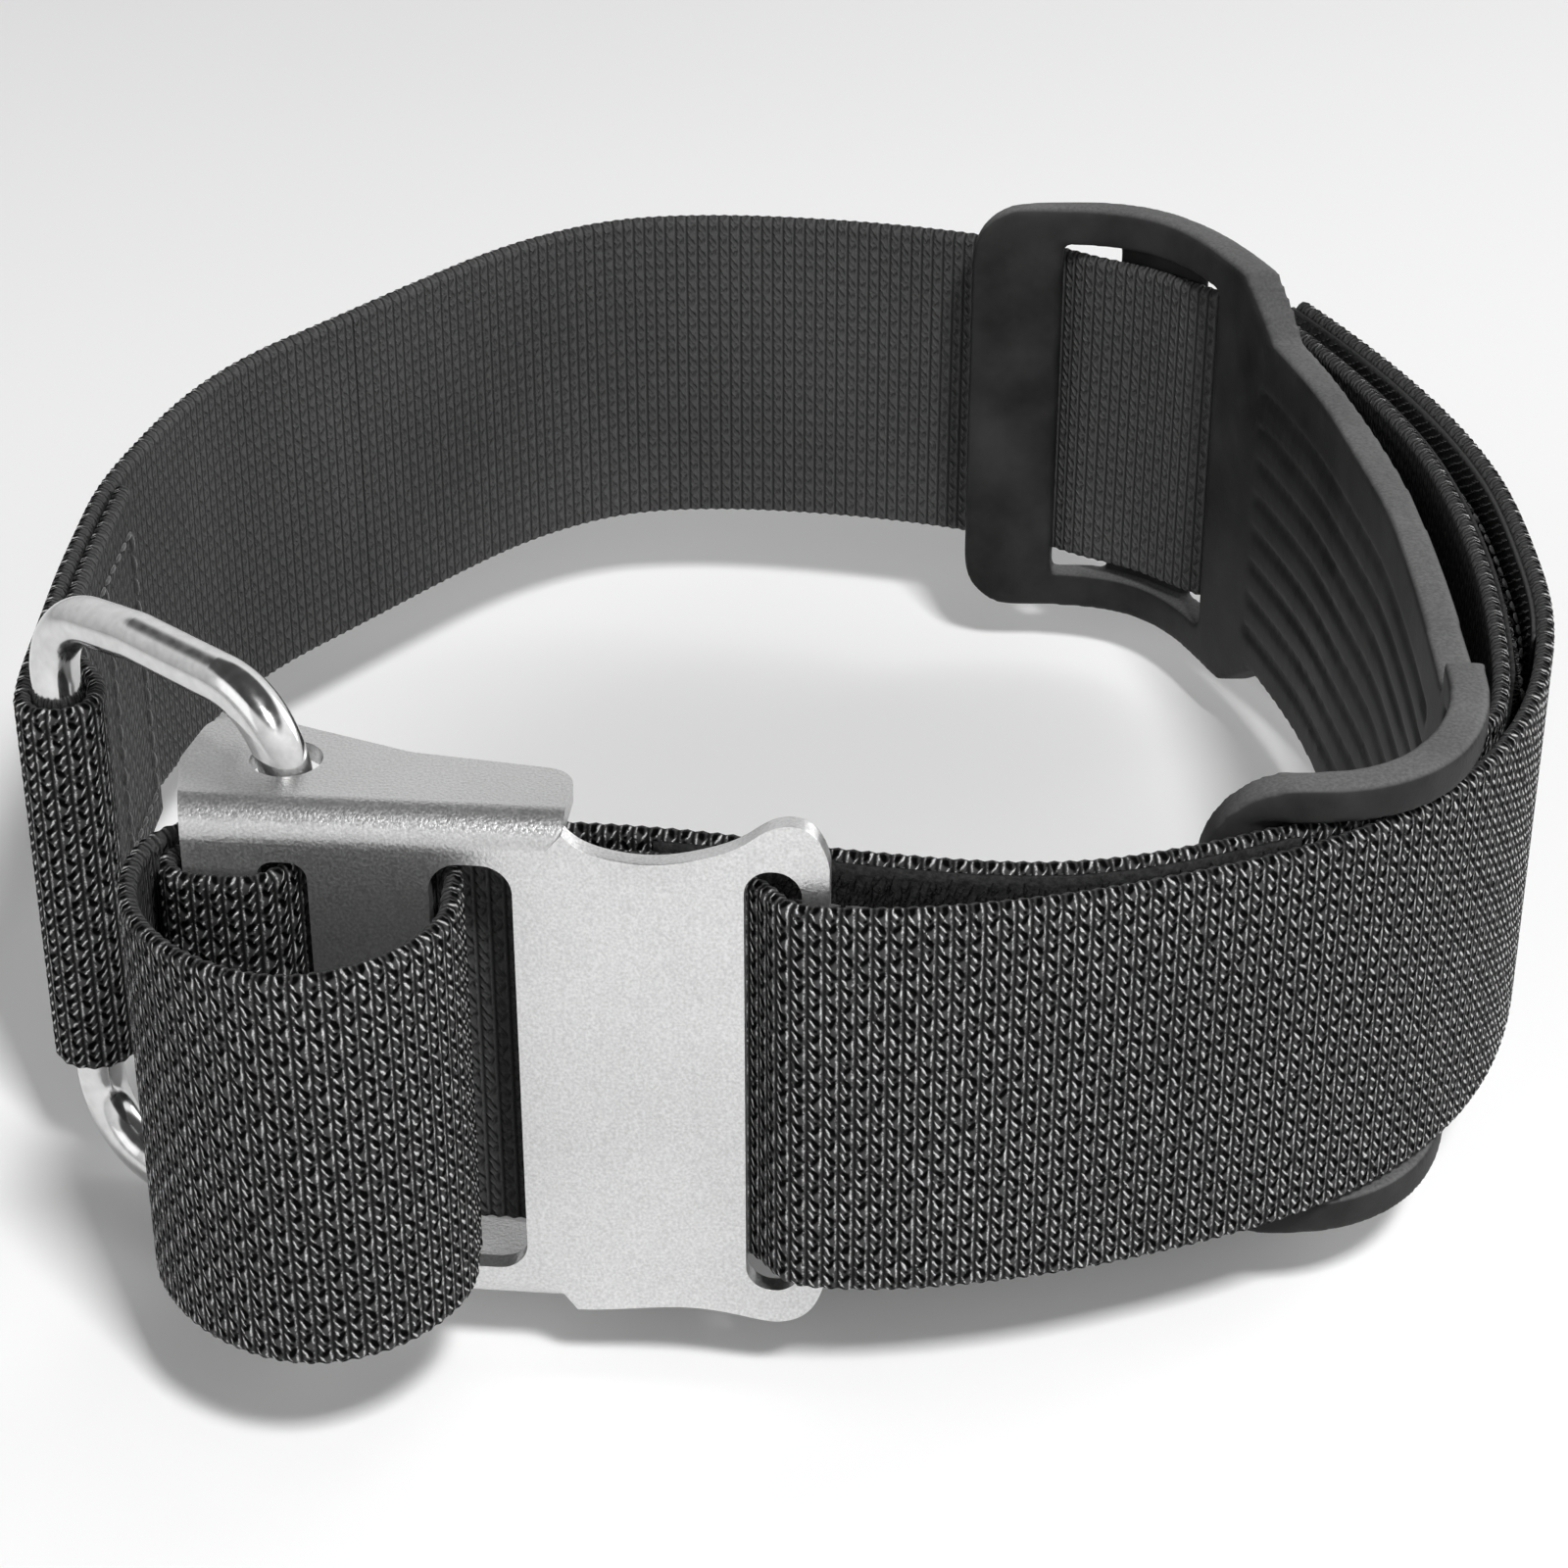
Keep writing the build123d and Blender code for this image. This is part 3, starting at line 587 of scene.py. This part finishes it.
strap_piece("strap_sewn_end", 0, BACK[0], ["webbing_sewn_end"], body="band")
strap_piece("strap_back_left", BACK[0], MID_BACK, ["webbing_back"], body="band")
strap_piece("strap_back_right", MID_BACK, BACK[1], ["webbing_back"], body="band")
strap_piece("strap_through_back_tab", *BACK_WEAVE, ["webbing_back_weave"], body="band")
strap_piece("strap_side", *SIDE, ["webbing_side"], body="band")
strap_piece("strap_through_front_tab", *FRONT_WEAVE, ["webbing_front_weave"], body="band")
strap_piece("strap_front", FRONT_WEAVE[1], PIVOT, ["webbing_front"], bend=FRONT_TURN)
strap_piece("strap_at_pivot", PIVOT, PIVOT + PIVOT_BEND, ["webbing_slack_loop"], 5, bend=LEVER_TURN)
strap_piece("strap_slack_loop", PIVOT + PIVOT_BEND, LOOP[1], ["webbing_slack_loop"], 5, body="lever")
strap_piece("strap_round_lever", LOOP[1], SLOT - SLOT_REACH[0], ["webbing_buckle_weave"], 5, body="lever")
strap_piece("strap_through_end_slot", SLOT - SLOT_REACH[0], SLOT + SLOT_REACH[1],
            ["webbing_buckle_weave", "webbing_tail"], 5, bend=TAIL_TURN)
strap_piece("strap_tail_front", SLOT + SLOT_REACH[1], MID_TAIL, ["webbing_tail"], 5, body="tail")
strap_piece("strap_tail_side", MID_TAIL, STRAP_LENGTH, ["webbing_tail"], 5, body="tail")

# ---- Tapes and thread ----


def tape_span(node):
    """Where a tape starts and ends along the strap, from its face that is against the webbing."""
    squares = ((LINE[None] - upper_outline(node)[:, None]) ** 2).sum(2)
    against = squares.min(1) < (THICK / 2 + TAPE_TOUCH) ** 2
    along = LINE_AT[squares.argmin(1)[against]]
    return along.min(), along.max()


def tape(name, node, material, slot, pitch, curl, **follows):
    """A tape on the strap's left face: a woven base with threads that stand on it."""
    start, end = tape_span(node)
    distance = np.linspace(start, end, round((end - start) / TAPE_GRID) + 1)[:, None]
    up = np.linspace(LOW + TAPE_MARGIN, HIGH - TAPE_MARGIN, round((HIGH - LOW) / TAPE_GRID))
    out = np.r_[np.full(len(up), THICK / 2 + TAPE_BASE), np.full(len(up), THICK / 2 - SINK)]
    base = on_strap(distance, np.r_[up, up[::-1]], out)
    rows = np.arange(start + TAPE_BORDER, end - TAPE_BORDER, pitch[0])
    columns = np.arange(up[0] + TAPE_BORDER, up[-1] - TAPE_BORDER, pitch[1])
    sites = np.stack(np.meshgrid(rows, columns, indexing="ij"), -1)
    sites[::2, :, 1] += pitch[1] / 2
    sites = sites.reshape(-1, 2)
    points, faces = threads(*curl(sites), corners=3, first=len(base))
    tuft = np.r_[np.zeros((len(base), 3)), np.ones((len(points), 3))]
    faces = tube_faces(len(distance), 2 * len(up)) + faces
    piece = add_piece(name, np.vstack([base, points]), faces, tuft=tuft)
    follow(give(piece, material), [node], **follows)


def pile_loops(sites):
    """Loose loops of yarn, each its own way and height."""
    sites = sites + random.uniform(-YARN_STRAY, YARN_STRAY, sites.shape)
    turn = np.linspace(0, math.pi, 5)
    lean = random.uniform(-YARN_LEAN, YARN_LEAN, (len(sites), 1))
    tall = random.uniform(YARN_SHORTEST, 1.0, (len(sites), 1)) * (LOOP_THICK - TAPE_BASE)
    up = THICK / 2 + TAPE_BASE - SINK + tall * np.sin(turn)
    ahead = -YARN_REACH * np.cos(turn) + lean * np.sin(turn)
    return sites, random.uniform(0, 2 * math.pi, len(sites)), ahead, up, np.full(up.shape, YARN_R)


def hooks(sites):
    """Stiff hooks, two rows facing one way along the strap and the next two the other."""
    row = np.unique(sites[:, 0], return_inverse=True)[1]
    heading = np.where(row % 4 < 2, 0.0, math.pi)
    hook = HOOK_AHEAD, THICK / 2 + TAPE_BASE + np.array(HOOK_UP), HOOK_R
    return sites, heading, *(np.broadcast_to(values, (len(sites), len(values))) for values in hook)


PILE, HOOKS = pile_look(), hook_look()
tape("loop_tape_on_side", "loop_tape_side", PILE, "loop_tape", LOOP_PITCH, pile_loops, body="band")
tape("loop_tape_on_front", "loop_tape_front", PILE, "loop_tape", LOOP_PITCH, pile_loops, bend=FRONT_TURN)
tape("hook_tape_on_tail", "hook_tape", HOOKS, "hook_tape", HOOK_PITCH, hooks, body="tail")

THREAD = thread_look()
ROWS = (LOW + ROW_INSET, HIGH - ROW_INSET)


def stitches(name, node, runs, face, **follows):
    """Rows of stitches on a face so far from the centreline. Each run has two (distance, height) ends."""
    sites, heading = [], []
    for start, end in np.array(runs, float):
        length = np.linalg.norm(end - start)
        count = round(length / STITCH_PITCH)
        sites += [start + (end - start) * (i + 0.5) / count for i in range(count)]
        heading += [math.atan2(*(end - start)[::-1])] * count
    share = np.array(STITCH_SHARES)
    shape = (len(sites), len(share))
    ahead = np.broadcast_to(STITCH_LONG * share, shape)
    up = np.broadcast_to(face + THREAD_R * (1 - STITCH_DIVE * share**4), shape)
    thick = np.broadcast_to(THREAD_R * np.sqrt(STITCH_BLUNT - 4 * share**2), shape)
    points, faces = threads(np.array(sites), np.array(heading), ahead, up, thick, corners=6)
    follow(give(add_piece(name, points, faces), THREAD), [node], **follows)


def both_rows(node):
    """The two rows of stitches along a tape."""
    start, end = tape_span(node)
    return [((start + ROW_END, row), (end - ROW_END, row)) for row in ROWS]


SEWN_END = [((SEWN_ROWS[0], row), (SEWN_ROWS[-1], row)) for row in ROWS]
SEWN_END += [((across, ROWS[0]), (across, ROWS[1])) for across in SEWN_ROWS]
LOOP_FACE, HOOK_FACE = THICK / 2 + LOOP_THICK, THICK / 2 + HOOK_THICK
stitches("stitches_on_side", "loop_tape_stitching", both_rows("loop_tape_side"), LOOP_FACE, body="band")
stitches("stitches_on_front", "loop_tape_stitching", both_rows("loop_tape_front"), LOOP_FACE, bend=FRONT_TURN)
stitches("stitches_on_tail", "hook_tape_stitching", both_rows("hook_tape"), HOOK_FACE, body="tail")
stitches("stitches_on_sewn_end", "sewn_end_stitching", SEWN_END, THICK / 2, body="band")

# ---- Pad ----

PAD_VOXEL = 0.57          # in millimetres; much finer brings the piece over the export's limit
PAD_SMOOTHING = 6


def weld(piece):
    """Joins the points that a CAD node's faces hold apart."""
    piece.modifiers.new("weld", "WELD").merge_threshold = SAME * MM


def softened(node, name):
    """A copy of a node with its edges rounded as a moulding's are."""
    piece = add_object(name + "_soft", frame["nodes"][node].data.copy())
    weld(piece)
    remesh = piece.modifiers.new("remesh", "REMESH")
    remesh.mode = "VOXEL"
    remesh.voxel_size = PAD_VOXEL * MM
    smooth = piece.modifiers.new("smooth", "SMOOTH")
    smooth.factor, smooth.iterations = 0.5, PAD_SMOOTHING
    graph = bpy.context.evaluated_depsgraph_get()
    mesh = bpy.data.meshes.new_from_object(piece.evaluated_get(graph), depsgraph=graph)
    bpy.data.objects.remove(piece)
    mesh.polygons.foreach_set("use_smooth", [True] * len(mesh.polygons))
    return add_object(name, mesh)


pad = give(softened("anti_slip_pad", "rubber_pad"), rubber_look())
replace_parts(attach(pad, "band"), "anti_slip_pad")

# ---- Metal ----

LEVER_EDGE = 0.35         # the lever's edges are rounded by this many millimetres
FLAT_ANGLE, SHARP_ANGLE = math.radians(0.5), math.radians(50)


def break_edges(node):
    """Rounds a CAD node's sharp edges as it is drawn, without touching its mesh."""
    weld(node)
    flat = node.modifiers.new("flat", "DECIMATE")
    flat.decimate_type = "DISSOLVE"
    flat.angle_limit = FLAT_ANGLE
    bevel = node.modifiers.new("bevel", "BEVEL")
    bevel.width, bevel.segments = LEVER_EDGE * MM, 3
    bevel.limit_method, bevel.angle_limit = "ANGLE", SHARP_ANGLE
    bevel.harden_normals = True
    node.modifiers.new("normals", "WEIGHTED_NORMAL").keep_sharp = True


for name, look in (("cam_lever", blasted_look()), ("wire_bail", polished_look())):
    for slot in frame["nodes"][name].material_slots:
        slot.material = look
break_edges(frame["nodes"]["cam_lever"])

# ---- Stage ----

# The photo's camera as fitted, in millimetres: it looks at the centre from the front and above
VIEW_TILT = math.radians(29.945)
VIEW_DISTANCE = 446.458
VIEW_CENTRE = np.array([-2.08, -24.76, 41.0])
LENS, SENSOR = 81.9, 36.0

# Brightness of the studio by height, 0 at the horizon and 1 overhead: the dark part gives the metal its edges
SKY = [(0.0, 0.8), (0.58, 1.15), (0.68, 0.1), (1.0, 0.08)]
SKY_SIDES = (0.65, 1.1)   # its share at the far left and the far right

# Each lamp's place and size in metres, and its power; they face one point
LAMPS = (
    ("key", (0.25, -0.62, 0.95), 0.17, 11),
    ("rim", (0.9, 0.6, 0.45), 0.5, 3),
    ("fill", (-0.8, -0.5, 0.5), 0.6, 0.8),
)
LAMPS_FACE = Vector((0, 0, 0.04))


def stage():
    """A pale floor, soft light and the camera."""
    bpy.ops.mesh.primitive_plane_add(size=6, location=(0, 0, 0))
    floor = bpy.context.object
    floor.name = "floor"
    look = Look("floor", Roughness=0.9, Specular_IOR_Level=0.1)
    floor.data.materials.append(look.paint(look.ramp(look.noise(3), (0.3, 0.86), (0.7, 0.88))))

    world = bpy.data.worlds.new("studio")
    bpy.context.scene.world = world
    world.use_nodes = True
    nodes, links = world.node_tree.nodes, world.node_tree.links
    split = nodes.new("ShaderNodeSeparateXYZ")
    links.new(nodes.new("ShaderNodeTexCoord").outputs["Generated"], split.inputs[0])
    sky = nodes.new("ShaderNodeValToRGB")
    links.new(split.outputs["Z"], sky.inputs["Fac"])
    set_stops(sky.color_ramp, SKY)
    links.new(sky.outputs["Color"], nodes["Background"].inputs["Color"])
    sides = nodes.new("ShaderNodeMapRange")
    sides.inputs["From Min"].default_value = -1
    sides.inputs["To Min"].default_value, sides.inputs["To Max"].default_value = SKY_SIDES
    links.new(split.outputs["X"], sides.inputs["Value"])
    links.new(sides.outputs["Result"], nodes["Background"].inputs["Strength"])

    for name, where, size, power in LAMPS:
        light = bpy.data.lights.new(name, "AREA")
        light.size, light.energy = size, power
        lamp = add_object(name, light)
        lamp.location = where
        lamp.rotation_euler = (LAMPS_FACE - Vector(where)).to_track_quat("-Z", "Y").to_euler()

    camera = bpy.data.cameras.new("camera")
    camera.lens, camera.sensor_width = LENS, SENSOR
    camera.clip_start, camera.clip_end = 0.01, 20
    shown = add_object("camera", camera)
    back = np.array([0, -math.cos(VIEW_TILT), math.sin(VIEW_TILT)])
    shown.location = (VIEW_CENTRE + VIEW_DISTANCE * back) * MM
    shown.rotation_euler = (math.pi / 2 - VIEW_TILT, 0, 0)
    bpy.context.scene.camera = shown
    bpy.context.scene.view_settings.view_transform = "Standard"


stage()
